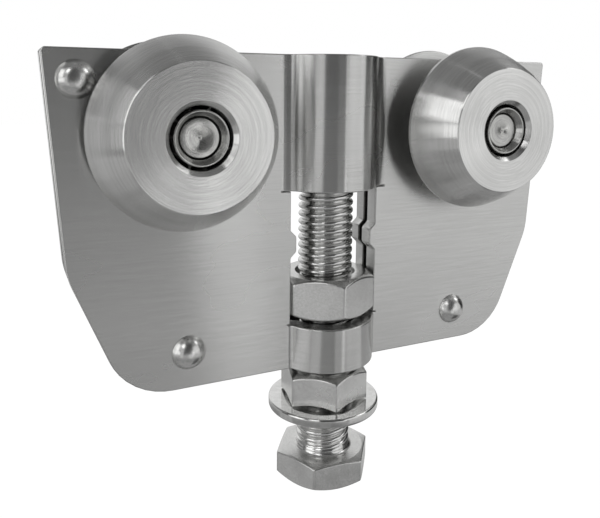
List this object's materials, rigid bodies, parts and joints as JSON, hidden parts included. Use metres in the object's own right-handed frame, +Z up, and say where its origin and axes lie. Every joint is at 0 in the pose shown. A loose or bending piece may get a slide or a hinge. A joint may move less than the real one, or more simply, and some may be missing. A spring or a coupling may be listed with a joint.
{
  "type": "rail trolley hanger",
  "caption": "Steel trolley that runs on an overhead rail on coned rollers and hangs its load from an adjustable bolt.",
  "frame": {"origin": "midway between the two axles and midway between the two plates", "axes": "+X along the rail, +Y through the hanger from its front roller pair to its back pair, +Z up"},
  "size_m": [0.1136, 0.038, 0.0958],
  "materials": {
    "pressed_plate": "fine grained stainless sheet, satin",
    "turned_roller": "fine turned stainless steel, satin",
    "turned_pin": "fine turned stainless steel",
    "bearing_ball": "polished",
    "plain_ring": "smooth stainless steel",
    "rivet": "smooth pressed stainless steel",
    "bolt_and_nuts": "bright stainless steel with rolled thread"
  },
  "bodies": {
    "hanger": {"front_plate": "pressed_plate", "back_plate": "pressed_plate", "captive_nut": "bolt_and_nuts", "axle_left": "turned_pin", "axle_shim_left": "plain_ring", "spacer_front_left": "plain_ring", "inner_ring_front_left": "turned_pin", "spacer_back_left": "plain_ring", "inner_ring_back_left": "turned_pin", "axle_right": "turned_pin", "axle_shim_right": "plain_ring", "spacer_front_right": "plain_ring", "inner_ring_front_right": "turned_pin", "spacer_back_right": "plain_ring", "inner_ring_back_right": "turned_pin", "rivet_upper_left": "rivet", "rivet_shim_upper_left": "plain_ring", "rivet_upper_right": "rivet", "rivet_shim_upper_right": "plain_ring", "rivet_lower_left": "rivet", "rivet_shim_lower_left": "plain_ring", "rivet_lower_right": "rivet", "rivet_shim_lower_right": "plain_ring"},
    "front_left_roller": {"roller_front_left": "turned_roller"},
    "front_left_ball_set": {"balls_front_left": "bearing_ball"},
    "back_left_roller": {"roller_back_left": "turned_roller"},
    "back_left_ball_set": {"balls_back_left": "bearing_ball"},
    "front_right_roller": {"roller_front_right": "turned_roller"},
    "front_right_ball_set": {"balls_front_right": "bearing_ball"},
    "back_right_roller": {"roller_back_right": "turned_roller"},
    "back_right_ball_set": {"balls_back_right": "bearing_ball"},
    "washer_ring": {"washer": "plain_ring"},
    "hanging_bolt": {"bolt": "bolt_and_nuts"},
    "locking_nut": {"lock_nut": "bolt_and_nuts"}
  },
  "joints": [
    {"name": "roller_front_left_spin", "type": "hinge", "parent": "hanger", "child": "front_left_roller", "pos_m": [-0.033, -0.01365, 0], "axis": [0, 1, 0], "continuous": true},
    {"name": "balls_front_left_orbit", "type": "hinge", "parent": "hanger", "child": "front_left_ball_set", "pos_m": [-0.033, -0.01365, 0], "axis": [0, 1, 0], "continuous": true},
    {"name": "roller_back_left_spin", "type": "hinge", "parent": "hanger", "child": "back_left_roller", "pos_m": [-0.033, 0.01365, 0], "axis": [0, 1, 0], "continuous": true},
    {"name": "balls_back_left_orbit", "type": "hinge", "parent": "hanger", "child": "back_left_ball_set", "pos_m": [-0.033, 0.01365, 0], "axis": [0, 1, 0], "continuous": true},
    {"name": "roller_front_right_spin", "type": "hinge", "parent": "hanger", "child": "front_right_roller", "pos_m": [0.033, -0.01365, 0], "axis": [0, 1, 0], "continuous": true},
    {"name": "balls_front_right_orbit", "type": "hinge", "parent": "hanger", "child": "front_right_ball_set", "pos_m": [0.033, -0.01365, 0], "axis": [0, 1, 0], "continuous": true},
    {"name": "roller_back_right_spin", "type": "hinge", "parent": "hanger", "child": "back_right_roller", "pos_m": [0.033, 0.01365, 0], "axis": [0, 1, 0], "continuous": true},
    {"name": "balls_back_right_orbit", "type": "hinge", "parent": "hanger", "child": "back_right_ball_set", "pos_m": [0.033, 0.01365, 0], "axis": [0, 1, 0], "continuous": true},
    {"name": "bolt_lift", "type": "slide", "parent": "hanger", "child": "washer_ring", "axis": [0, 0, 1], "range_m": [-0.028, 0.00175]},
    {"name": "bolt_turn", "type": "hinge", "parent": "washer_ring", "child": "hanging_bolt", "pos_m": [0, 0, -0.06698], "axis": [0, 0, 1], "range_deg": [-5765, 365]},
    {"name": "lock_nut_turn", "type": "hinge", "parent": "hanging_bolt", "child": "locking_nut", "pos_m": [0, 0, -0.0564], "axis": [0, 0, 1], "range_deg": [-1980, 396]}
  ],
  "couplings": [
    {"joint": "balls_front_left_orbit", "follows": "roller_front_left_spin", "ratio": 0.65723},
    {"joint": "balls_back_left_orbit", "follows": "roller_back_left_spin", "ratio": 0.65723},
    {"joint": "balls_front_right_orbit", "follows": "roller_front_right_spin", "ratio": 0.65723},
    {"joint": "balls_back_right_orbit", "follows": "roller_back_right_spin", "ratio": 0.65723},
    {"joint": "bolt_turn", "follows": "bolt_lift", "rad_per_m": 3590.4}
  ]
}
